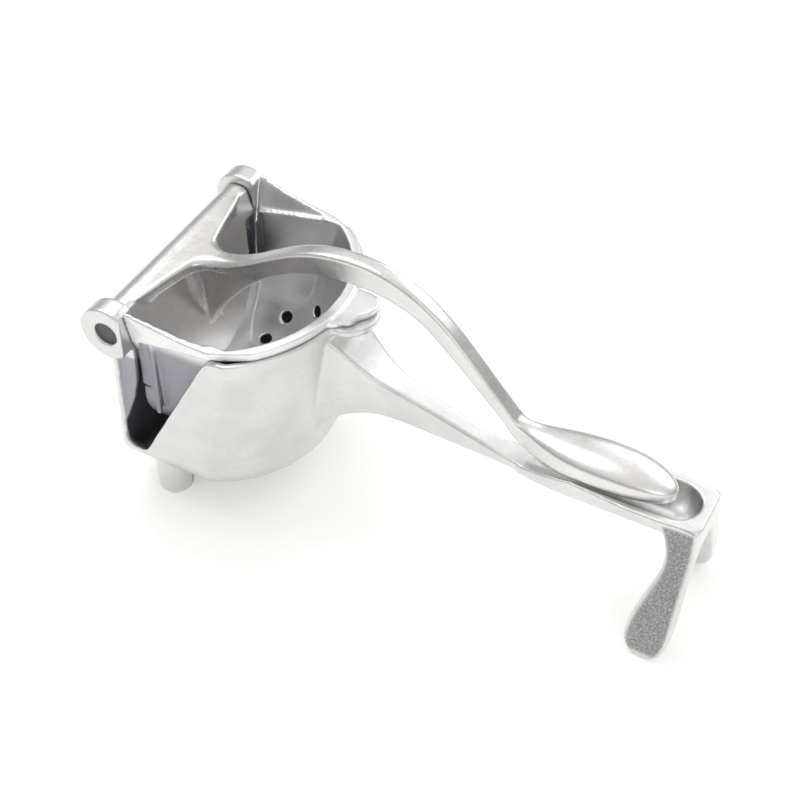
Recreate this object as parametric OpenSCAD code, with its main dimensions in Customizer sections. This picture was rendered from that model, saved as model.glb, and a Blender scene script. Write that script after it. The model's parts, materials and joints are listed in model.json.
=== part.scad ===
// Hand juicer press: a cast pot with a removable strainer, squeezed by a hinged lever.
// Units are millimetres, +Z is up, and the feet stand on the plane z = 0.
// The handle runs towards +X. The hinge axis lies along Y.
// The origin is the middle of the footprint box, on the ground.

/* [Hinge] */

// Distance between the outer faces of the two hinge lugs
lug_span = 105; // [95:1:115]
// Radius of the round boss on each lug
boss_r = 11.5; // [10:0.5:14]
// Thickness of each lug along the axis
lug_t = 8.75; // [6:0.25:11]
// Height of the hinge axis above the ground
axis_z = 90.2; // [86:0.1:96]
// Radius of the steel hinge pin
pin_r = 5; // [3:0.1:6]
// Depth of the pin's end below the lug's face
pin_recess = 1.5; // [0.5:0.5:3]
// Running clearance on the radius between the barrel's bore and the pin
pin_clear = 0.05; // [0.02:0.01:0.1]
// Outer radius of the lever's barrel
barrel_r = 8; // [7:0.25:9]
// Gap between each end of the barrel and its lug
barrel_gap = 0.4; // [0.3:0.1:1]

/* [Pot] */

// Height of the strainer's rim above the ground
rim_z = 95.5; // [90:0.5:105]
// Distance from the hinge axis to the centre of the round front of the pot
pot_x = 16.2; // [12:0.2:20]
// Outer radius of the round front at the rim
pot_r = 59; // [50:0.5:62]
// Outer radius of the round front just above the bottom fillet
pot_low_r = 50; // [44:0.5:56]
// Half width of the pot over its flat sides at the rim
side_y = 48.5; // [44:0.5:52]
// Half width of the pot over its flat sides above the bottom fillet
side_low_y = 46; // [42:0.5:50]
// Wall thickness of the pot
pot_wall = 3; // [2:0.25:4]
// Height of the underside of the pot above the ground
pot_base_z = 12.5; // [9:0.5:18]
// Radius of the fillet round the bottom of the pot
pot_fillet = 14; // [8:1:18]
// Distance of the pot's rear face behind the hinge axis
rear_x = 5; // [4:0.5:8]
// Step from the strainer's rim down to the pot's rim
rim_step = 4; // [3:0.5:6]
// Height of the bottom of the V-shaped spout above the ground
spout_z = 23.5; // [19:0.5:32]
// Distance from the hinge axis to the front end of the spout at the rim
spout_x = 42.5; // [38:0.5:48]

/* [Strainer] */

// Inner radius of the round front of the strainer at its rim
bowl_r = 53.6; // [48:0.1:56]
// Inner half width of the strainer between its flat sides
bowl_y = 43; // [40:0.5:46]
// Wall thickness of the strainer
bowl_wall = 1.8; // [1.2:0.1:3]
// Inner depth of the strainer below its rim
bowl_depth = 62; // [56:1:66]
// Width of the rim flange outside the round front
flange_w = 4; // [3:0.25:5]
// Diameter of a drain hole
hole_d = 5; // [3:0.5:7]

/* [Lever] */

// Width of the lever's arm
arm_w = 7.6; // [6:0.2:10]
// Depth of the press plate below the hinge axis
plate_deep = 44.5; // [38:0.5:46]
// Thickness of the press plate
plate_t = 4; // [3:0.25:6]
// Lean of the press plate from vertical, in degrees
plate_lean = 17; // [10:1:25]
// Half width of the palm grip
grip_y = 10.8; // [9:0.2:13]

/* [Handle and legs] */

// Distance from the hinge axis to the far end of the handle
reach = 228; // [200:1:250]
// Half width of the dished end of the handle
dish_y = 13.5; // [11:0.5:15]
// Sideways distance from the middle to each front foot
leg_y = 27; // [22:0.5:36]
// Diameter of each rear foot where it leaves the pot
foot_d = 16; // [13:0.5:19]

/* [Hidden] */

pivot_x = -(reach - boss_r) / 2;
lug_in = lug_span / 2 - lug_t;
plate_side_y = lug_span / 2 - 2.5;
pot_top = rim_z - rim_step;
guard_r = boss_r + 0.2;
guard_gap = 1.2;
lug_front_x = 7;
lug_low_z = axis_z - 14.7;
foot_x = 12.5;
foot_y = 36;
bracket_x = reach - 12;
rear_top_x = -2.2;
dish_high_z = rim_z - 36.5;
dish_low_z = rim_z - 49;
dish_under_r = 15;
dish_depth = 7;
dish_groove_r = 10.6;
dish_x0 = 150;
dish_end_x = reach - 14;
bracket_y = 12;
strainer_x = 7.3;
bowl_base_z = rim_z - bowl_depth - bowl_wall;
bowl_low_r = 48;
bowl_fillet = 30;
bowl_side_fillet = 24;
rear_wall_z = 59.5;
collar_x = strainer_x + 1.5;
plate_front = 6.1;
fn_round = 96;
fn_bore = 96;
metal = [0.78, 0.79, 0.80];
inner_metal = [0.70, 0.71, 0.73];
steel = [0.45, 0.46, 0.48];

// The line where the lever's arm meets its gusset, as [x, z above the rim]
arm_seam = [[0, -3], [5, -2.6], [14, -2.2], [26, -0.6], [36, 1.6], [44, 4.5]];
// The underside line of the lever's arm beyond the gusset
arm_low = [[53, 9.5], [64, 13.2], [77, 15], [91, 14.2],
           [100, 11.8], [109, 7.5], [119, -1.2], [130, -12], [143, -25], [151, -35.5]];
// The top line of the lever's arm, from the far end back to the barrel
arm_high = [[151, -27.2], [143, -16.8], [132, -4.4], [121, 7.5], [110, 16.6], [99, 22.2],
            [88, 25], [77, 25.2], [65, 23.4], [54, 19.4], [43, 13.4], [33, 7.6], [22, 3.8],
            [12, 2.8], [0, 2.7]];
// Half widths of the arm, as [x, y], with the flared web at its root
arm_plan = [[0, 39], [4.4, 38.5], [6.2, 30], [8.3, 20], [10.5, 11.5], [12.2, 8.2], [16, 5.7], [22, 4.5],
    [30, 3.8], [151, 3.8]];
// Half outline of the press plate, as [depth below the hinge axis over its full depth, y]
plate_half = [[0, 37.6], [0.11, 36.4], [0.31, 33.4], [0.49, 30.6], [0.63, 27.9], [0.71, 25.6],
    [0.77, 22.8], [0.82, 19.8], [0.87, 16.3], [0.91, 12.6], [0.946, 8.5], [0.985, 3.8], [1, 0]];
// The top line of the lower handle
handle_high = [[60, -7], [78, -7], [81, -11], [85, -18.5], [91, -25], [99, -29.3], [110, -33.2],
    [130, -39.5], [143, -43], [152, -44]];
// The underside line of the lower handle, from the far end back to the pot
handle_low = [[152, -49], [143, -49.4], [130, -49.4], [118, -49], [108, -48.2], [100, -47.2],
    [92, -46.6], [85, -48], [78, -51.6], [71, -57.4], [65, -66], [60, -72], [55, -72]];
// Half widths of the lower handle, as [x, y]
handle_plan = [[50, 15], [66, 15], [74, 13.6], [82, 10.6], [90, 7.8], [98, 6], [108, 4.7], [120, 4.2],
    [136, 4.2], [145, 4.8], [152, 5.8]];
// Outline of the strainer's lifting tab
tab_plan = [[66, 12.5], [76, 13.1], [80, 12.9], [83, 12], [84.6, 9.8], [85.4, 6.4], [84.6, 2.2], [82.6, -0.4],
    [81.2, -2.2], [80.6, -5], [79.2, -6.6], [77, -7.4], [75.8, -9.2], [73, -10.6], [66, -10.9]];
// Half widths of the dished end, as [x, y]
dish_plan = [[152, 5.8], [157, 7.4], [163, 9.2], [170, 10.6], [178, 11.5], [188, 12.5],
    [200, dish_y], [212, dish_y], [218, 13], [reach - 2, bracket_y], [reach, bracket_y - 2]];

function mirrored(p) = [for (i = [0:len(p) - 1]) [p[len(p) - 1 - i][0], -p[len(p) - 1 - i][1]]];
function closed_plan(p) = concat(p, mirrored(p));
function flipped(p) = [for (i = [0:len(p) - 1]) [-p[len(p) - 1 - i][0], p[len(p) - 1 - i][1]]];
function closed_section(p) = concat(p, flipped(p));
function arc(cx, cz, r, a0, a1, n) =
    [for (i = [0:n]) [cx + r * cos(a0 + (a1 - a0) * i / n), cz + r * sin(a0 + (a1 - a0) * i / n)]];

// Moves children from hinge-centred x to the part's frame.
module at_hinge() {
    translate([pivot_x, 0, 0])
        children();
}

// Turns a drawing of [x, z] into a slab from y0 to y1.
module side_slab(points, y0, y1) {
    translate([0, y1, 0])
        rotate([90, 0, 0])
            linear_extrude(height = y1 - y0)
                polygon(points);
}

// Turns a drawing of [x, y] into a block from z0 to z1.
module plan_block(points, z0, z1) {
    translate([0, 0, z0])
        linear_extrude(height = z1 - z0)
            polygon(points);
}

function up(p) = [for (q = p) [q[0], q[1] + rim_z]];

// Half profile of the pot's round front, inset by t.
function pot_profile(t) = concat(
    [[0, pot_base_z + t]],
    arc(pot_low_r - pot_fillet, pot_base_z + pot_fillet, pot_fillet - t, -90, 0, 10),
    [[pot_r - t, pot_top], [pot_r - t, pot_top + (t > 0 ? 1 : 0)], [0, pot_top + (t > 0 ? 1 : 0)]]);

// Full cross-section of the pot between its flat sides, inset by t, as [y, z].
function side_half(t) = concat(
    arc(side_low_y - pot_fillet, pot_base_z + pot_fillet, pot_fillet - t, -90, 0, 10),
    [[side_y - t, pot_top + (t > 0 ? 1 : 0)]]);

module pot_solid(t) {
    intersection() {
        translate([-rear_x + t, 0, 0])
            rotate([90, 0, 90])
                linear_extrude(height = pot_x + pot_r + rear_x)
                    polygon(closed_section(side_half(t)));
        union() {
            translate([pot_x, 0, 0])
                rotate_extrude($fn = fn_round)
                    polygon(pot_profile(t));
            translate([-rear_x, -side_y, pot_base_z])
                cube([rear_x + pot_x, 2 * side_y, pot_top - pot_base_z + 2]);
        }
        side_slab(concat(
            arc(-rear_x + 9, pot_base_z + 9, 9 - t, 180, 270, 8),
            [[pot_x + pot_r, pot_base_z + t], [pot_x + pot_r, pot_top + 2], [rear_top_x + t, pot_top + 2],
             [rear_top_x + t, lug_low_z]]),
            -side_y, side_y);
    }
}

// The V-shaped spout: steep at the rear, sloping up to the rim in front.
module spout_cut() {
    side_slab(concat(
        [[rear_top_x + pot_wall, pot_top + 9], [rear_top_x + pot_wall, lug_low_z]],
        arc(-rear_x + pot_wall + 5.3, spout_z + 5, 5, 180, 320, 8),
        [[spout_x - 4.5, pot_top - 7.5], [spout_x - 2, pot_top - 3.4], [spout_x + 0.6, pot_top - 1.2],
         [spout_x + 4, pot_top], [spout_x + 4, pot_top + 9]]),
        36, 60);
}

module cup() {
    color(metal)
    at_hinge()
    difference() {
        union() {
            difference() {
                pot_solid(0);
                pot_solid(pot_wall);
                spout_cut();
                mirror([0, 1, 0])
                    spout_cut();
            }
            corner_fin();
            mirror([0, 1, 0])
                corner_fin();
        }
        // The rear wall stops where the guard and the lugs begin.
        translate([0, 0, axis_z])
            rotate([90, 0, 0])
                cylinder(r = guard_r, h = 2 * lug_in, center = true, $fn = fn_round);
        translate([-30, -60, axis_z - guard_r / 2])
            cube([30 + lug_front_x, 120, 40]);
        translate([-30, lug_in, lug_low_z])
            cube([30 + lug_front_x, 20, 40]);
        translate([-30, -lug_in - 20, lug_low_z])
            cube([30 + lug_front_x, 20, 40]);
    }
}

// The upright edge below each lug that the strainer's rear edge stands against.
module corner_fin() {
    side_slab(up([[-0.5, -20], [lug_front_x, -20], [lug_front_x - 0.4, -32], [4.5, -42], [-0.6, -56]]),
        lug_in, lug_in + 2.4);
}

// The curved guard that carries on from the rear wall, behind and under the barrel.
module hinge_guard() {
    color(metal)
    at_hinge()
    intersection() {
        translate([0, 0, axis_z])
            rotate([90, 0, 0])
                difference() {
                    cylinder(r = guard_r, h = 2 * lug_in, center = true, $fn = fn_round);
                    cylinder(r = barrel_r + guard_gap, h = 2 * lug_in + 2, center = true, $fn = fn_round);
                }
        side_slab([[0, axis_z], [-20, axis_z - 5.4], [-20, axis_z - 20],
            [rear_top_x + pot_wall, axis_z - 20], [rear_top_x + pot_wall, axis_z - 2]], -lug_in, lug_in);
    }
}

// One lug: a plate on the rear corner of the pot with a round boss, bored for the pin.
module lug() {
    difference() {
        union() {
            translate([0, lug_span / 2, axis_z])
                rotate([90, 0, 0])
                    cylinder(r = boss_r, h = lug_t, $fn = fn_round);
            side_slab([[rear_top_x, lug_low_z], [rear_top_x + pot_wall, lug_low_z], [3, lug_low_z + 3],
                [5.4, lug_low_z + 7], [lug_front_x, lug_low_z + 13], [lug_front_x, axis_z + 8.6],
                [lug_front_x - 2, axis_z + boss_r - 0.6], [0, axis_z + boss_r], [rear_top_x, axis_z]],
                lug_in, plate_side_y);
            // Its inner face carries on into the upright edge below.
            side_slab([[rear_top_x, lug_low_z], [lug_front_x, lug_low_z], [lug_front_x, axis_z],
                [rear_top_x, axis_z]], lug_in, lug_in + 2.4);
        }
        translate([lug_front_x, 0, 0])
            cube([20, 80, 200]);
        translate([0, lug_span / 2 + 1, axis_z])
            rotate([90, 0, 0])
                cylinder(r = pin_r, h = lug_t + 2, $fn = fn_bore);
    }
}

module hinge_lug_left() {
    color(metal)
    at_hinge()
    lug();
}

module hinge_lug_right() {
    color(metal)
    at_hinge()
    mirror([0, 1, 0])
        lug();
}

module rear_foot() {
    difference() {
        translate([foot_x, foot_y, 0])
            cylinder(d1 = foot_d - 2, d2 = foot_d, h = 30, $fn = 48);
        pot_solid(0);
        translate([-30, 0, spout_z - 1])
            cube([80, 80, 60]);
    }
}

module rear_foot_left() {
    color(metal)
    at_hinge()
    rear_foot();
}

module rear_foot_right() {
    color(metal)
    at_hinge()
    mirror([0, 1, 0])
        rear_foot();
}

// The fixed lower handle, deep at the pot and slender further out.
module lower_handle() {
    color(metal)
    at_hinge()
    difference() {
        intersection() {
            side_slab(up(concat(handle_high, handle_low)), -30, 30);
            plan_block(closed_plan(handle_plan), 0, rim_z + 10);
        }
        pot_solid(0);
    }
}

// The ledge on the pot's rim that the strainer's tab lies on.
module tab_ledge() {
    color(metal)
    at_hinge()
    difference() {
        union() {
            translate([pot_x + bowl_r + 5.5, 2, rim_z - 7])
                cylinder(r = 12, h = 3, $fn = fn_round);
            translate([pot_x + 40, -10, rim_z - 7])
                cube([bowl_r - 34.5, 24, 3]);
        }
        pot_solid(0);
    }
}

// The dished end of the lower handle, where the lever's palm grip comes to rest.
module handle_dish() {
    color(metal)
    at_hinge()
    difference() {
        intersection() {
            plan_block(closed_plan(dish_plan), dish_low_z, dish_high_z);
            union() {
                translate([140, 0, dish_low_z + dish_under_r])
                    rotate([0, 90, 0])
                        cylinder(r = dish_under_r, h = 100, $fn = fn_round);
                translate([bracket_x, -20, dish_low_z])
                    cube([20, 40, 20]);
            }
        }
        translate([dish_x0, 0, dish_high_z - dish_depth + dish_groove_r])
            rotate([0, 90, 0])
                cylinder(r = dish_groove_r, h = dish_end_x - dish_x0, $fn = fn_round);
        // The trough's end is round.
        translate([dish_end_x, 0, dish_high_z - dish_depth + dish_groove_r])
            rotate([90, 0, 0])
                rotate_extrude($fn = fn_round)
                    intersection() {
                        circle(r = dish_groove_r, $fn = fn_round);
                        translate([0, -dish_groove_r])
                            square([dish_groove_r, 2 * dish_groove_r]);
                    }
        // The dish starts level with the handle and rises to its full height.
        side_slab(up([[150, -44], [153, -44], [160, -41.6], [168, -38.8], [176, -36.5], [176, -30],
            [150, -30]]), -20, 20);
    }
}

// One front leg: it splays out from under the dished end to a rounded foot.
module front_leg() {
    hull() {
        translate([bracket_x, 0, dish_low_z - 5])
            cube([reach - bracket_x, bracket_y, 5]);
        side_slab(concat([[reach - 18, 9]], arc(reach - 11.5, 6.5, 6.5, 200, 270, 6),
            arc(reach - 7.3, 6.5, 6.5, 270, 350, 6), [[reach - 0.6, 14]]), leg_y - 3, leg_y + 3);
    }
}

module front_leg_left() {
    color(metal)
    at_hinge()
    front_leg();
}

module front_leg_right() {
    color(metal)
    at_hinge()
    mirror([0, 1, 0])
        front_leg();
}

// Half profile of the strainer's round front, inset by t.
function bowl_profile(t) = concat(
    [[0, bowl_base_z + t]],
    arc(bowl_low_r - bowl_fillet, bowl_base_z + bowl_fillet, bowl_fillet - t, -90, 0, 12),
    [[bowl_r + bowl_wall - t, rim_z], [bowl_r + bowl_wall - t, rim_z + (t > 0 ? 1 : 0)],
     [0, rim_z + (t > 0 ? 1 : 0)]]);

module bowl_solid(t) {
    intersection() {
        side_slab(concat(
            arc(strainer_x + 10, bowl_base_z + 10, 10 - t, 180, 270, 6),
            [[90, bowl_base_z + t], [90, rim_z + 2], [strainer_x + t, rim_z + 2]]), -bowl_y - 2, bowl_y + 2);
        rotate([90, 0, 90])
            linear_extrude(height = 90)
                polygon(closed_section(concat(
                    arc(bowl_y - bowl_side_fillet, bowl_base_z + bowl_side_fillet,
                        bowl_side_fillet - t, -90, 0, 12),
                    [[bowl_y + bowl_wall - t, rim_z + 2]])));
        union() {
            translate([pot_x, 0, 0])
                rotate_extrude($fn = fn_round)
                    polygon(bowl_profile(t));
            translate([strainer_x, -bowl_y - bowl_wall, bowl_base_z])
                cube([pot_x - strainer_x, 2 * (bowl_y + bowl_wall), bowl_depth + bowl_wall + (t > 0 ? 1 : 0)]);
        }
    }
}

// Sections of the flared collar on a flat side, as x and its four corners [y, z above the rim].
collar_sections = [
    [collar_x, [[48.4, 6], [50, 5.4], [46.8, -9.6], [44.4, -10]]],
    [19, [[47.1, 3.6], [49.1, 3], [47.4, -7.3], [44.3, -8]]],
    [31, [[46.3, 1.3], [48.6, 0.8], [47.8, -5.1], [44.3, -5.9]]],
    [43, [[44.6, 0], [47.6, -0.4], [47.6, -4], [43.6, -4]]]];

module collar_slice(k) {
    rotate([90, 0, 90])
        translate([0, 0, collar_sections[k][0]])
            linear_extrude(height = 0.4)
                polygon(up(collar_sections[k][1]));
}

// The flared collar along each flat side, rising towards the hinge.
module collar() {
    for (k = [0:2])
        hull() {
            collar_slice(k);
            collar_slice(k + 1);
        }
}

// Rings of drain holes, as the angle from straight down and the headings either side of +X.
hole_rings = [
    [0, [0]],
    [17, [0, 60]],
    [33, [0, 27, 54, 81]],
    [47.5, [0, 25.3, 50.6, 76]],
    [60, [11.4, 34.2, 57]]];

module strainer() {
    color(inner_metal)
    at_hinge() {
        difference() {
            union() {
                bowl_solid(0);
                // The flange that sits on the pot's rim.
                intersection() {
                    translate([pot_x, 0, pot_top])
                        cylinder(r = bowl_r + flange_w, h = rim_step, $fn = fn_round);
                    plan_block(closed_plan([[spout_x, 47.4], [spout_x + 4, 46], [spout_x + 7.7, 44.3],
                        [spout_x + 14, 40.8], [spout_x + 20, 36], [90, 20]]), pot_top, rim_z);
                }
                // The lifting tab, with an uneven end.
                plan_block(tab_plan, pot_top, rim_z - 1);
                // A stiffening rib on each flat side.
                for (s = [-1, 1])
                    translate([strainer_x + 8, s * (bowl_y + bowl_wall), rim_z - 46])
                        cylinder(r = 1.2, h = 38, $fn = 24);
            }
            bowl_solid(bowl_wall);
            // The flat sides give way to the flared collar.
            for (s = [-1, 1])
                translate([0, s * (bowl_y + 3), 0])
                    side_slab([[0, rim_z - 9.4], [spout_x - 2, rim_z - 0.5], [spout_x - 2, rim_z + 9],
                        [0, rim_z + 9]], -3.2, 3.2);
            // The rear corners are cut back, so the lever's barrel turns clear of them.
            translate([0, -50, rim_z - 14])
                cube([collar_x, 100, 20]);
            // The rear wall is low, so the press plate can come down past it.
            translate([0, -bowl_y, rear_wall_z])
                cube([strainer_x + 4, 2 * bowl_y, 60]);
            for (ring = hole_rings)
                for (turn = ring[1])
                    for (s = (turn == 0) ? [1] : [-1, 1])
                        translate([pot_x, 0, rim_z - 20])
                            rotate([0, 0, s * turn])
                                rotate([0, 180 - ring[0], 0])
                                    translate([0, 0, 28])
                                        cylinder(d = hole_d, h = 34, $fn = 32);
        }
        collar();
        mirror([0, 1, 0])
            collar();
    }
}

module hinge_pin() {
    color(steel)
    at_hinge()
    translate([0, 0, axis_z])
        rotate([90, 0, 0])
            cylinder(r = pin_r, h = lug_span - 2 * pin_recess, center = true, $fn = fn_bore);
}

// The outside of the lever's barrel, flat in front where it is flush with the press plate.
module barrel_outside(h) {
    translate([0, 0, axis_z])
        difference() {
            rotate([90, 0, 0])
                cylinder(r = barrel_r, h = h, center = true, $fn = fn_round);
            rotate([0, -plate_lean, 0])
                translate([plate_front, -h, -20])
                    cube([20, 2 * h, 40]);
        }
}

// The tube of the lever that turns on the pin between the lugs.
module lever_barrel() {
    color(metal)
    at_hinge()
    difference() {
        barrel_outside(2 * (lug_in - barrel_gap));
        translate([0, 0, axis_z])
            rotate([90, 0, 0])
                cylinder(r = pin_r + pin_clear, h = 2 * lug_in + 2, center = true, $fn = fn_bore);
    }
}

module lever_arm() {
    color(metal)
    at_hinge()
    difference() {
        intersection() {
            side_slab(up(concat(arm_seam, arm_low, arm_high)), -42, 42);
            plan_block(closed_plan(arm_plan), 0, rim_z + 60);
        }
        barrel_outside(100);
    }
}

// The web under the arm that ties it to the press plate.
module arm_gusset() {
    color(metal)
    at_hinge()
    difference() {
        side_slab(up(concat(arm_seam, [[36, -2], [30, -8], [24, -15.5], [19, -22.5], [15, -29.5],
            [12, -34], [0, -12]])), -arm_w / 2, arm_w / 2);
        barrel_outside(60);
        translate([0, 0, axis_z])
            rotate([0, -plate_lean, 0])
                translate([plate_front - 40, -30, -60])
                    cube([40, 60, 60 + 4]);
    }
}

// The plate that squeezes the fruit. It hangs from the front of the barrel.
module press_plate() {
    color(metal)
    at_hinge()
    difference() {
        translate([0, 0, axis_z])
            rotate([0, -plate_lean, 0])
                translate([plate_front, 0, 0])
                    rotate([0, -90, 0])
                        linear_extrude(height = plate_t)
                            polygon(closed_plan([for (q = plate_half) [-plate_deep * q[0], q[1]]]));
        barrel_outside(120);
    }
}

// Rings of the palm grip, as [x, middle height above the rim, half width, half height].
grip_rings = [
    [151, -31.3, 4.2, 4.2], [156, -32.4, 5.4, 4.8], [162, -32.8, 7.2, 5.2], [168, -32.4, 8.9, 5.5],
    [175, -31.8, 10.2, 5.8], [184, -31.4, grip_y, 6], [193, -31.4, 10.5, 5.8], [200, -31.8, 9.5, 5.3],
    [206, -32.4, 7.8, 4.5], [210, -33, 5.9, 3.5], [212.8, -33.6, 3.7, 2.4], [214.2, -34, 1.5, 1.2]];
grip_n = 32;

module palm_grip() {
    n = len(grip_rings);
    color(metal)
    at_hinge()
    polyhedron(
        points = [for (r = grip_rings) for (i = [0:grip_n - 1])
            [r[0], r[2] * cos(i * 360 / grip_n), rim_z + r[1] + r[3] * sin(i * 360 / grip_n)]],
        faces = concat(
            [for (k = [0:n - 2]) for (i = [0:grip_n - 1])
                let (j = (i + 1) % grip_n)
                [k * grip_n + i, k * grip_n + j, (k + 1) * grip_n + j, (k + 1) * grip_n + i]],
            [[for (i = [0:grip_n - 1]) grip_n - 1 - i]],
            [[for (i = [0:grip_n - 1]) (n - 1) * grip_n + i]]));
}

cup();
hinge_guard();
hinge_lug_left();
hinge_lug_right();
rear_foot_left();
rear_foot_right();
tab_ledge();
lower_handle();
handle_dish();
front_leg_left();
front_leg_right();
strainer();
hinge_pin();
lever_barrel();
lever_arm();
arm_gusset();
press_plate();
palm_grip();
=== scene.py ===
# Looks of a cast hand juicer press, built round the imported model.
# The scene is in metres, in the frame's own axes. Shapes are drawn in millimetres, from the hinge (x), the
# mid-plane (y) and the strainer's rim (z).
import json
import math

import bpy
import bmesh
from mathutils import Matrix, Vector


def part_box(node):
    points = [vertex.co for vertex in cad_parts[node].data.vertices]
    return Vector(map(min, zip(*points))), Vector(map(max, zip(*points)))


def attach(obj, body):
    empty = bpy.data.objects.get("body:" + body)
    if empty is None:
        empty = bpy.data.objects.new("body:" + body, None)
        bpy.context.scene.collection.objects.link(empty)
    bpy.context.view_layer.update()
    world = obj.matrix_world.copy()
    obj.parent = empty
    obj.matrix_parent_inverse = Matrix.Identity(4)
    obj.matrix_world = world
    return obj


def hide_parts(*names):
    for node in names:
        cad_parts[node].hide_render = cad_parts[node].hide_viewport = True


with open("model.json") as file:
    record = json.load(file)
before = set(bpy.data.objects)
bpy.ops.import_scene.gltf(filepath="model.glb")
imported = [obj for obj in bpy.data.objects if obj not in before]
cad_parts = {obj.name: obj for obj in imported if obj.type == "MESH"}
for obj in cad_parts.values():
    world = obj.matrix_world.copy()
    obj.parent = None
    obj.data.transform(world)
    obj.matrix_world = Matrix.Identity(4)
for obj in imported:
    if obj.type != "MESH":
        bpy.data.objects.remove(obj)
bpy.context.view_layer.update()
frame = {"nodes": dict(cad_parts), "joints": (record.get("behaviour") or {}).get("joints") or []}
nodes = frame["nodes"]
MM = 0.001

FLOOR_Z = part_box("rear_foot_left")[0][2]
RIM_UP = 95.5            # height of the strainer's rim over the floor
HINGE_X = frame["joints"][0]["pos_m"][0]
RIM = FLOOR_Z + RIM_UP * MM
AXIS_DOWN = -5.3         # height of the hinge axis from the rim
POT_X = 16.2             # distance of the pot's round front's middle from the hinge


def here(x, y, z):
    """The scene's place of a drawn point."""
    return (HINGE_X + x * MM, y * MM, RIM + z * MM)


# ---------------------------------------------------------------- mesh helpers

def new_object(name, bm):
    """An object made from the bmesh, with its normals facing out."""
    mesh = bpy.data.meshes.new(name)
    bmesh.ops.recalc_face_normals(bm, faces=bm.faces)
    bm.to_mesh(mesh)
    bm.free()
    obj = bpy.data.objects.new(name, mesh)
    bpy.context.scene.collection.objects.link(obj)
    return obj


def copy_of(node):
    """A free copy of a CAD node's mesh."""
    obj = bpy.data.objects.new("copy_" + node, nodes[node].data.copy())
    bpy.context.scene.collection.objects.link(obj)
    obj.data.materials.clear()
    bm = bmesh.new()
    bm.from_mesh(obj.data)
    bmesh.ops.remove_doubles(bm, verts=bm.verts, dist=1e-6)
    bm.to_mesh(obj.data)
    bm.free()
    return obj


def loft(name, rings):
    """A closed solid through rings of points, each ring the same number of points."""
    bm = bmesh.new()
    made = [[bm.verts.new(p) for p in ring] for ring in rings]
    n = len(rings[0])
    for a, b in zip(made, made[1:]):
        for i in range(n):
            j = (i + 1) % n
            bm.faces.new((a[i], a[j], b[j], b[i]))
    bm.faces.new(list(reversed(made[0])))
    bm.faces.new(made[-1])
    return new_object(name, bm)


def joined(name, objs):
    """The objects as one mesh."""
    bm = bmesh.new()
    for o in objs:
        bm.from_mesh(o.data)
        bpy.data.objects.remove(o)
    return new_object(name, bm)


def apply_modifiers(obj):
    """Turns the object's modifiers into plain mesh."""
    deps = bpy.context.evaluated_depsgraph_get()
    mesh = bpy.data.meshes.new_from_object(obj.evaluated_get(deps))
    obj.modifiers.clear()
    old = obj.data
    obj.data = mesh
    bpy.data.meshes.remove(old)


def cast_together(obj, voxel, rounds):
    """Melts overlapping solids into one casting with soft inner and outer corners."""
    m = obj.modifiers.new("remesh", "REMESH")
    m.mode = "VOXEL"
    m.voxel_size = voxel * MM
    m.adaptivity = 0
    m.use_smooth_shade = True
    s = obj.modifiers.new("soften", "SMOOTH")
    s.factor = 0.5
    s.iterations = rounds
    apply_modifiers(obj)
    for p in obj.data.polygons:
        p.use_smooth = True


def catmull(points, per):
    """Points on a smooth line through the given ones. Each may have any number of coordinates."""
    out = []
    n = len(points)
    for i in range(n - 1):
        p0 = points[max(i - 1, 0)]
        p1, p2 = points[i], points[i + 1]
        p3 = points[min(i + 2, n - 1)]
        for k in range(per):
            t = k / per
            out.append(tuple(
                0.5 * (2 * b + (c - a) * t + (2 * a - 5 * b + 4 * c - d) * t * t
                       + (3 * b - a - 3 * c + d) * t * t * t)
                for a, b, c, d in zip(p0, p1, p2, p3)))
    out.append(tuple(points[-1]))
    return out


def along(points, x):
    """Height or width at x on a smooth line through [x, value] points."""
    line = catmull(points, 8)
    if x <= line[0][0]:
        return line[0][1]
    for (x0, v0), (x1, v1) in zip(line, line[1:]):
        if x <= x1:
            return v0 + (v1 - v0) * (x - x0) / max(x1 - x0, 1e-6)
    return line[-1][1]


def rounded(corners, radii, n=5):
    """A closed outline with each corner eased over its radius."""
    out = []
    k = len(corners)
    for i, (c, r) in enumerate(zip(corners, radii)):
        before, after = Vector(corners[i - 1]), Vector(corners[(i + 1) % k])
        c = Vector(c)
        a = c + (before - c).normalized() * min(r, (before - c).length * 0.49)
        b = c + (after - c).normalized() * min(r, (after - c).length * 0.49)
        for j in range(n):
            t = j / (n - 1)
            out.append((1 - t) ** 2 * a + 2 * t * (1 - t) * c + t * t * b)
    return out


def step(a, b, x):
    """0 at a and before it, 1 at b and beyond, smooth between."""
    t = min(1, max(0, (x - a) / (b - a)))
    return t * t * (3 - 2 * t)


def paint(obj, name, weigh):
    """Stores a 0 to 1 value on each point of the mesh, from its drawn place and its normal."""
    layer = obj.data.attributes.new(name, "FLOAT", "POINT")
    values = []
    for v in obj.data.vertices:
        p = ((v.co.x - HINGE_X) / MM, v.co.y / MM, (v.co.z - RIM) / MM)
        values.append(weigh(p, v.normal))
    layer.data.foreach_set("value", values)


# ---------------------------------------------------------------- materials

def nodes_of(mat):
    """The material's node tree, its shader, and the object's own coordinates."""
    mat.use_nodes = True
    nt = mat.node_tree
    nt.nodes.clear()
    out = nt.nodes.new("ShaderNodeOutputMaterial")
    shader = nt.nodes.new("ShaderNodeBsdfPrincipled")
    nt.links.new(shader.outputs[0], out.inputs[0])
    coord = nt.nodes.new("ShaderNodeTexCoord")
    return nt, shader, coord.outputs["Object"]


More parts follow.
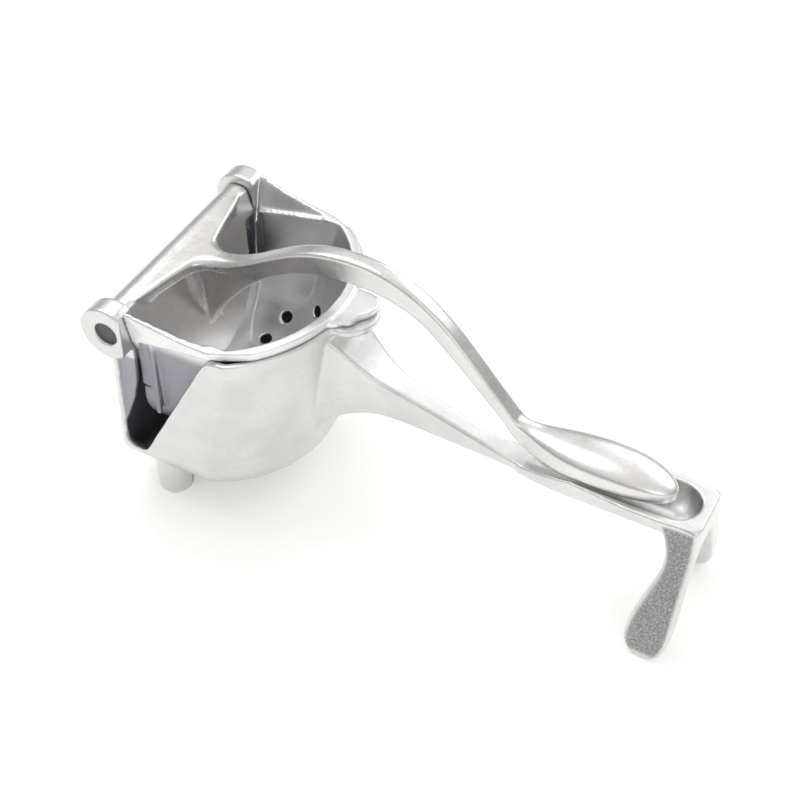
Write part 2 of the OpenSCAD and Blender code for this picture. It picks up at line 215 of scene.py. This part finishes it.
def noise(nt, vector, scale, detail, rough=0.55, stretch=None):
    """Even grey noise, 0 to 1."""
    if stretch:
        m = nt.nodes.new("ShaderNodeMapping")
        m.inputs["Scale"].default_value = stretch
        nt.links.new(vector, m.inputs["Vector"])
        vector = m.outputs[0]
    n = nt.nodes.new("ShaderNodeTexNoise")
    n.inputs["Scale"].default_value = scale
    n.inputs["Detail"].default_value = detail
    n.inputs["Roughness"].default_value = rough
    nt.links.new(vector, n.inputs["Vector"])
    return n.outputs["Fac"]


def ramp(nt, value, stops):
    """The value sent through [position, grey or colour] stops."""
    r = nt.nodes.new("ShaderNodeValToRGB")
    cr = r.color_ramp
    while len(cr.elements) < len(stops):
        cr.elements.new(0.5)
    for e, (pos, c) in zip(cr.elements, stops):
        e.position = pos
        e.color = (c, c, c, 1) if isinstance(c, (int, float)) else (*c, 1)
    nt.links.new(value, r.inputs[0])
    return r.outputs[0]


def math_node(nt, op, a, b=None, c=None):
    """One sum on sockets or plain numbers."""
    m = nt.nodes.new("ShaderNodeMath")
    m.operation = op
    for i, v in enumerate((a, b, c)):
        if v is None:
            continue
        if isinstance(v, (int, float)):
            m.inputs[i].default_value = v
        else:
            nt.links.new(v, m.inputs[i])
    return m.outputs[0]


def mix_colour(nt, fac, a, b):
    """Colour a where fac is 0, colour b where it is 1."""
    m = nt.nodes.new("ShaderNodeMix")
    m.data_type = "RGBA"
    for sock, v in ((m.inputs[0], fac), (m.inputs[6], a), (m.inputs[7], b)):
        if isinstance(v, (int, float)):
            sock.default_value = v
        elif isinstance(v, tuple):
            sock.default_value = (*v, 1)
        else:
            nt.links.new(v, sock)
    return m.outputs[2]


def bump(nt, height, distance, strength, before=None):
    """Relief of the given depth, laid over the relief before it."""
    b = nt.nodes.new("ShaderNodeBump")
    b.inputs["Distance"].default_value = distance
    b.inputs["Strength"].default_value = strength
    nt.links.new(height, b.inputs["Height"])
    if before is not None:
        nt.links.new(before, b.inputs["Normal"])
    return b.outputs[0]


def shaded(colour, by):
    """The colour made darker or lighter, at most white."""
    return tuple(min(1, c * by) for c in colour)


def attribute(nt, name):
    a = nt.nodes.new("ShaderNodeAttribute")
    a.attribute_name = name
    return a.outputs["Fac"]


# Tones of the unpolished metal. The darkest is painted shade for the recesses, not the metal's own colour.
RAW_LIGHT = (0.54, 0.525, 0.56)
RAW_MID = (0.40, 0.39, 0.43)
RAW_PAINTED_SHADE = (0.14, 0.135, 0.165)


def dull_skin_and_shade(nt, mask, blotch, base, rough):
    """Unpolished metal: dull up to half the mask, then darker with painted shade."""
    dull = mix_colour(nt, blotch, RAW_MID, RAW_LIGHT)
    base = mix_colour(nt, ramp(nt, mask, [(0.0, 0.0), (0.5, 1.0)]), base, dull)
    base = mix_colour(nt, ramp(nt, mask, [(0.5, 0.0), (1.0, 1.0)]), base, RAW_PAINTED_SHADE)
    return base, math_node(nt, "MULTIPLY_ADD", mask, 0.14, rough)


def sand_skin(nt, mask, v, base, rough, relief):
    """The gritty skin left by the sand mould."""
    grit = nt.nodes.new("ShaderNodeTexVoronoi")
    grit.inputs["Scale"].default_value = 1300
    nt.links.new(v, grit.inputs["Vector"])
    pits = noise(nt, v, 1500, 5, 0.7)
    tone = ramp(nt, pits, [(0.3, 0.24), (0.5, 0.42), (0.68, 0.75)])
    base = mix_colour(nt, mask, base, tone)
    rough = math_node(nt, "MAXIMUM", rough, math_node(nt, "MULTIPLY", mask, 0.62))
    gritty = math_node(nt, "MULTIPLY", math_node(nt, "ADD", pits, grit.outputs["Distance"]), mask)
    return base, rough, bump(nt, gritty, 0.0006, 1.0, relief)


def cast_metal(name, colour, low, high, sand=None, dull_and_shade=None):
    """Tumbled cast metal, its roughness from low to high: soft blotches, fine grain, a few scuffs.

    The two last arguments name the painted values of the mould's skin and of unpolished metal; past its half
    the second lays painted shade."""
    mat = bpy.data.materials.new(name)
    nt, sh, v = nodes_of(mat)
    sh.inputs["Metallic"].default_value = 1.0
    blotch = noise(nt, v, 55, 3, 0.5)
    fine = noise(nt, v, 900, 3, 0.6)
    grain = noise(nt, v, 3200, 2, 0.5)
    scuff_at = ramp(nt, noise(nt, v, 70, 6, 0.7, stretch=(1, 1, 2.4)), [(0.56, 0.0), (0.74, 1.0)])
    base = mix_colour(nt, ramp(nt, blotch, [(0.3, 0.0), (0.7, 1.0)]), shaded(colour, 0.86), colour)
    base = mix_colour(nt, ramp(nt, fine, [(0.35, 0.35), (0.6, 0.0)]), base, shaded(colour, 0.8))
    base = mix_colour(nt, math_node(nt, "MULTIPLY", scuff_at, 0.35), base, shaded(colour, 1.15))
    rough = math_node(nt, "MULTIPLY_ADD", blotch, high - low, low)
    rough = math_node(nt, "MULTIPLY_ADD", fine, 0.10, rough)
    rough = math_node(nt, "MULTIPLY_ADD", scuff_at, 0.10, rough)
    relief = bump(nt, noise(nt, v, 120, 3, 0.5), 0.00025, 0.5)
    relief = bump(nt, fine, 0.00006, 0.6, relief)
    relief = bump(nt, grain, 0.00002, 0.5, relief)
    if dull_and_shade:
        # Dull unpolished metal, turning past half the mask into painted shade.
        base, rough = dull_skin_and_shade(nt, attribute(nt, dull_and_shade), blotch, base, rough)
    if sand:
        base, rough, relief = sand_skin(nt, attribute(nt, sand), v, base, rough, relief)
    nt.links.new(base, sh.inputs["Base Color"])
    nt.links.new(rough, sh.inputs["Roughness"])
    nt.links.new(relief, sh.inputs["Normal"])
    return mat


body_metal = cast_metal("body_metal", (0.76, 0.76, 0.755), 0.24, 0.38, sand="sand", dull_and_shade="dull_and_shade")
strainer_metal = cast_metal("strainer_metal", (0.88, 0.875, 0.88), 0.26, 0.42, dull_and_shade="dull_and_shade")
lever_metal = cast_metal("lever_metal", (0.80, 0.79, 0.775), 0.18, 0.31)
# The pin's near-black colour is painted shade for its recessed end in the lug.
pin_metal_painted_shade = cast_metal("pin_metal_painted_shade", (0.16, 0.16, 0.165), 0.45, 0.6)


# ---------------------------------------------------------------- shapes

# Lower handle: top line, underside line and half widths, from the pot outwards.
H_TOP = [(58, -8), (68, -8.5), (74, -10.5), (80, -15.5), (86, -21), (92, -25.6), (99, -29.3), (110, -33.2),
         (120, -36.4), (130, -39.4), (143, -42.6), (158, -43.5)]
H_LOW = [(58, -73), (62, -71), (66, -64.5), (71, -57.6), (78, -51.6), (85, -48.3), (92, -46.9), (100, -47.2),
         (108, -48.1), (118, -48.9), (130, -49.3), (143, -49.3), (158, -48.8)]
H_WIDE = [(58, 13.5), (68, 13), (74, 12), (80, 10.6), (86, 9), (92, 7.4), (99, 6), (110, 4.8), (120, 4.3),
          (136, 4.2), (145, 4.8), (152, 5.8), (158, 7.6)]


def pot_face(y, z):
    """Distance from the hinge of a round just inside the pot's widening front, at y and z."""
    r = 48.5 + 9 * (z + RIM_UP - 26.5) / 65
    return POT_X + math.sqrt(max(r * r - y * y, 0))


def handle_shape():
    """The lower handle from inside the pot's wall to under the dish: flat on top, narrower below."""
    first, spacing, count = 60, 2.1, 46
    rings = []
    for i in range(count):
        x = first + i * spacing
        zt, zb, w = along(H_TOP, x), along(H_LOW, x), along(H_WIDE, x)
        h = zt - zb
        deep = min(1, max(0, (h - 8) / 30))
        waist, foot = (w * 0.97, zb + 0.42 * h), (w * (0.70 + 0.1 * deep), zb)
        ring = rounded([(w, zt), waist, foot, (-foot[0], foot[1]), (-waist[0], waist[1]), (-w, zt)],
                       [0.8 + 0.8 * deep, 3, 2 + 4 * deep, 2 + 4 * deep, 3, 0.8 + 0.8 * deep])
        rings.append([here(max(x, pot_face(p[0], p[1])), p[0], p[1]) for p in ring])
    return loft("handle_shape", rings)


# Lever arm: the lines of its top and underside, its half width, the flat part of that width on top, and how
# far the crown drops beside it.
A_TOP = [(0, 2.4), (12, 2.8), (22, 3.8), (33, 7.8), (43, 13.8), (54, 20), (65, 24), (77, 25.8), (88, 25.3),
         (99, 22.2), (110, 16.4), (121, 7.3), (132, -4.6), (143, -17), (151, -25.6), (157, -29)]
A_LOW = [(0, -3.4), (14, -2.6), (26, -1), (36, 1.4), (44, 4.4), (53, 9.3), (64, 13.2), (77, 15), (91, 14.2),
         (100, 11.8), (109, 7.5), (119, -1.2), (130, -12), (143, -25.4), (151, -34.5), (157, -37.4)]
A_SIDE = [(0, 39.3), (3.5, 38.9), (6.2, 30), (8.3, 20), (10.5, 11.6), (12, 8.5), (16, 5.7), (22, 4.4),
          (30, 3.9), (45, 3.7), (157, 3.8)]
A_CROWN = [(0, 0.9), (6, 0.8), (9, 0.7), (12, 0.62), (20, 0.6), (30, 0.66), (45, 0.78), (157, 0.8)]
A_DROP = [(0, 0.5), (8, 0.6), (12, 1.4), (17, 2.2), (25, 2.2), (45, 1.1), (157, 1.0)]


def arm_shape():
    """The arm, with its flared root. Its rings stand closer where the root narrows."""
    root_end = 16
    places = [0.5 * i for i in range(2 * root_end)] + [root_end + 2.1 * i for i in range(68)]
    rings = []
    for x in places:
        zt, zb, ws = along(A_TOP, x), along(A_LOW, x), along(A_SIDE, x)
        wu, drop = along(A_CROWN, x) * ws, along(A_DROP, x)
        ring = rounded([(wu, zt), (ws, zt - drop), (ws * 0.985, zb), (-ws * 0.985, zb), (-ws, zt - drop),
                        (-wu, zt)], [1.2, 0.45, 0.9, 0.9, 0.45, 1.2])
        rings.append([here(x, p[0], p[1]) for p in ring])
    return loft("arm_shape", rings)


# Press plate: its front face leans forward from the hinge axis.
LEAN = math.radians(17)
PLATE_OUT = 6.1          # distance of the plate's front face from the hinge axis


def on_plate(down, y, out):
    """A point given down along the plate's front face from the axis's height, sideways, and out from it."""
    out += PLATE_OUT
    return here(out * math.cos(LEAN) + down * math.sin(LEAN), y,
                AXIS_DOWN + out * math.sin(LEAN) - down * math.cos(LEAN))


def flare_shape():
    """The soft corner between the gusset's sides and the plate. It narrows outwards and downwards."""
    narrowing = [(-5, 0.92), (2, 1), (9, 1), (15, 0.88), (20, 0.68), (24, 0.48), (27, 0.25)]
    rings = []
    for out, w in ((-1.5, 9.2), (0, 8.2), (0.5, 7.1), (1.1, 6.0), (2.0, 5.0), (3.2, 4.2), (4.8, 3.4)):
        near = [on_plate(down, w * part, out) for down, part in narrowing]
        far = [on_plate(down, -w * part, out) for down, part in reversed(narrowing)]
        rings.append(near + far)
    return loft("flare_shape", rings)


# Palm grip: [x, dome top, shoulder, underside, half width].
GRIP = [(148, -23.5, -25.5, -32.5, 3.4), (153, -25.6, -28, -36, 4.0), (158, -26.3, -29.6, -38.4, 5.6),
        (164, -26.2, -30.6, -39, 7.6), (171, -25.9, -31.0, -38.6, 9.5), (179, -25.6, -30.8, -37.6, 10.6),
        (188, -25.6, -30.4, -37.3, 10.8), (197, -26.3, -30.4, -37.1, 10.2), (204, -27.6, -30.9, -37, 8.7),
        (209, -29.2, -31.6, -36.9, 6.6), (212.5, -30.9, -32.6, -36.6, 4.1), (214.2, -32.4, -33.6, -35.8, 1.6)]


def grip_shape():
    """The palm grip: a smooth dome over a boxier underside, with a small step between."""
    upper, lower, ledge = 16, 13, 0.5
    rings = []
    for x, top, mid, low, w in catmull(GRIP, 4):
        ring = []
        for k in range(upper + 1):
            a = math.pi * k / upper
            c, sn = math.cos(a), math.sin(a)
            ring.append((w * 0.97 * math.copysign(abs(c) ** 0.85, c), mid + (top - mid) * sn ** 0.9))
        for k in range(lower):
            a = math.pi + math.pi * (k + 0.5) / lower
            c, sn = math.cos(a), -math.sin(a)
            z = mid - ledge - (mid - ledge - low) * sn ** 0.62
            ring.append((w * math.copysign(abs(c) ** 0.42, c), z))
        rings.append([here(x, p[0], p[1]) for p in ring])
    return loft("grip_shape", rings)


# Front leg: [height, rear edge x, front edge x, inner y, outer y].
LEG = [(-37.4, 212, 227.4, 11.0, 13.0), (-42, 213.5, 227.6, 8.5, 13.4), (-44.8, 214.6, 227.7, 4, 13.7),
       (-47, 215.5, 227.8, 3, 14.2), (-52, 216.9, 227.8, 6, 16.0),
       (-58, 216.6, 227.8, 9.5, 18.6), (-64, 215.2, 227.8, 12.6, 21.0), (-70, 213.2, 227.8, 15.2, 23.3),
       (-76, 211.4, 227.8, 17.4, 25.3), (-82, 210.2, 227.7, 19.4, 27.3), (-87, 209.9, 227.1, 21.0, 28.6),
       (-91, 210.9, 225.7, 22.4, 29.3), (-94, 213.2, 223.4, 23.7, 29.6), (-95.5, 215.4, 221.2, 24.6, 29.4)]


def leg_shape(side):
    """A front leg, side 1 for left and -1 for right."""
    rings = []
    for z, x0, x1, y0, y1 in catmull(LEG, 4):
        ring = rounded([(x0, y0 + 1.0), (x0 + 0.2, y1 - 0.4), (x1, y1), (x1, y0)], [1.6, 1.6, 1.6, 2])
        rings.append([here(p[0], side * p[1], z) for p in ring])
    return loft("leg_shape", rings)


# ---------------------------------------------------------------- body casting

BODY = ["cup", "hinge_guard", "hinge_lug_left", "hinge_lug_right", "rear_foot_left", "rear_foot_right",
        "tab_ledge", "lower_handle", "handle_dish", "front_leg_left", "front_leg_right"]
REDRAWN = ["lower_handle", "front_leg_left", "front_leg_right"]
body = joined("body_casting", [copy_of(n) for n in BODY if n not in REDRAWN]
              + [handle_shape(), leg_shape(1), leg_shape(-1)])
cast_together(body, 0.6, 5)

LEG_REAR = [(-z, x0) for z, x0, x1, y0, y1 in LEG]
LEG_FRONT = [(-z, x1) for z, x0, x1, y0, y1 in LEG]


def sand_at(p, n):
    """The sand skin, unpolished, on the outer faces of the front legs, inside a smooth margin."""
    x, y, z = p
    if x < 200 or z > -37:
        return 0.0
    inside = min(step(1.0, 2.4, x - along(LEG_REAR, -z)), step(1.0, 2.2, along(LEG_FRONT, -z) - x),
                 step(-93.2, -91.2, z), step(-38.2, -39.4, z))
    return inside * step(0.35, 0.6, abs(n.y)) * (1.0 if n.y * y > 0 else 0.0)


def pot_inside_dull_and_shade(p, n):
    """The unpolished inside of the pot and the upright edges below the lugs, with painted shade that grows
    darker further down.
    """
    x, y, z = p
    if x > 80 or x < -4 or abs(y) > 49 or z > -5:
        return 0.0
    # Painted shade: the mask rises past half inside the pot, and more further down.
    deep = step(-5, -9, z) * (0.62 + 0.14 * step(-12, -80, z))
    if -1.2 < x < 8 and abs(y) < 46.8 and -58 < z < -20:
        return deep
    if x > 4:
        inward = (n.x * min(POT_X - x, 0) - n.y * y) / 20
    else:
        inward = n.x
    return step(0.0, 0.4, inward) * deep


paint(body, "sand", sand_at)
paint(body, "dull_and_shade", pot_inside_dull_and_shade)
body.data.materials.append(body_metal)
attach(body, "juicer_body")
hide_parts(*BODY)

# ---------------------------------------------------------------- strainer

def collar_root(side):
    """The rear end of the collar, close up to the lug, side 1 for left and -1 for right."""
    section = [(48.4, 6.2), (50.0, 5.6), (46.8, -9.7), (44.9, -15), (44.1, -15), (44.6, -9.8)]
    return loft("collar_root", [[here(x, side * y, z) for y, z in section] for x in (7.4, 10.5)])


strainer = joined("strainer_insert", [copy_of("strainer"), collar_root(1), collar_root(-1)])
cast_together(strainer, 0.6, 5)


def strainer_dull_and_shade(p, n):
    """The strainer's outer walls are dull below its polished flange and collar, with painted shade that grows
    darker further down.
    """
    x, y, z = p
    outward = (n.x * (x - POT_X) + n.y * y) / 40
    # Painted shade: the mask sits past half on the outer walls, and more further down.
    return step(-7, -14, z) * (0.70 + 0.08 * step(-14, -66, z)) * step(-0.1, 0.3, outward)


paint(strainer, "dull_and_shade", strainer_dull_and_shade)
strainer.data.materials.append(strainer_metal)
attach(strainer, "juicer_body")
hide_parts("strainer")

# ---------------------------------------------------------------- lever

LEVER = ["lever_barrel", "lever_arm", "arm_gusset", "press_plate", "palm_grip"]
lever = joined("lever_casting", [copy_of("lever_barrel"), copy_of("press_plate"), copy_of("arm_gusset"),
                                 flare_shape(), arm_shape(), grip_shape()])
cast_together(lever, 0.55, 4)
lever.data.materials.append(lever_metal)
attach(lever, "lever")
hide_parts(*LEVER)

# ---------------------------------------------------------------- pin

pin = nodes["hinge_pin"]
pin.data.materials.clear()
pin.data.materials.append(pin_metal_painted_shade)
bevel = pin.modifiers.new("bevel", "BEVEL")
bevel.width = 0.6 * MM
bevel.segments = 3
bevel.limit_method = "ANGLE"

# ---------------------------------------------------------------- floor, light, camera

bm = bmesh.new()
bmesh.ops.create_grid(bm, x_segments=1, y_segments=1, size=6.0)
floor = new_object("floor", bm)
floor.location.z = FLOOR_Z - 0.0001
floor_mat = bpy.data.materials.new("floor_white")
nt, sh, v = nodes_of(floor_mat)
sh.inputs["Roughness"].default_value = 0.9
nt.links.new(ramp(nt, noise(nt, v, 3, 2), [(0.0, (0.955, 0.955, 0.94)), (1.0, (0.975, 0.975, 0.96))]),
             sh.inputs["Base Color"])
sh.inputs["Emission Color"].default_value = (1, 1, 0.985, 1)
sh.inputs["Emission Strength"].default_value = 0.2
floor.data.materials.append(floor_mat)


LIT = Vector((0, 0, 0.05))     # where the lights aim


def area_light(name, place, size, size_y, power):
    """A soft white panel aimed at the object."""
    light = bpy.data.lights.new(name, "AREA")
    light.shape = "RECTANGLE"
    light.size = size
    light.size_y = size_y
    light.energy = power
    obj = bpy.data.objects.new(name, light)
    obj.location = place
    obj.rotation_euler = (LIT - Vector(place)).to_track_quat("-Z", "Y").to_euler()
    bpy.context.scene.collection.objects.link(obj)


area_light("key", (-0.45, 0.15, 0.95), 0.8, 0.7, 3.5)
area_light("fill", (0.8, -0.5, 0.6), 0.5, 0.6, 1.2)
area_light("back", (0.3, 0.9, 0.7), 1.0, 0.4, 2.6)

world = bpy.data.worlds.new("studio")
bpy.context.scene.world = world
world.use_nodes = True
wn = world.node_tree
background = wn.nodes["Background"]
direction = wn.nodes.new("ShaderNodeTexCoord")
height = wn.nodes.new("ShaderNodeSeparateXYZ")
wn.links.new(direction.outputs["Generated"], height.inputs[0])
grey = [(0.0, 0.75), (0.15, 0.44), (0.40, 0.62), (0.8, 1.0)]
tones = [(at, (g, g, g * 0.995)) for at, g in grey]
wn.links.new(ramp(wn, height.outputs["Z"], tones), background.inputs["Color"])
background.inputs["Strength"].default_value = 0.85

# The camera looks down from the right, a little from the front, tipped slightly sideways.
CAMERA_AT = (0.193352, -0.398686, 0.493054)
TURN = math.radians(26.9553)
TILT = math.radians(44.2911)
ROLL = math.radians(1.0380)
cam_data = bpy.data.cameras.new("camera")
cam_data.sensor_width = 36.0
cam_data.lens = 1.985 * cam_data.sensor_width
camera = bpy.data.objects.new("camera", cam_data)
look = (Matrix.Translation(CAMERA_AT) @ Matrix.Rotation(TURN, 4, "Z")
        @ Matrix.Rotation(math.pi / 2 - TILT, 4, "X") @ Matrix.Rotation(ROLL, 4, "Z"))
camera.matrix_world = look
bpy.context.scene.collection.objects.link(camera)
bpy.context.scene.camera = camera
bpy.context.scene.view_settings.view_transform = "Standard"

bpy.context.view_layer.update()
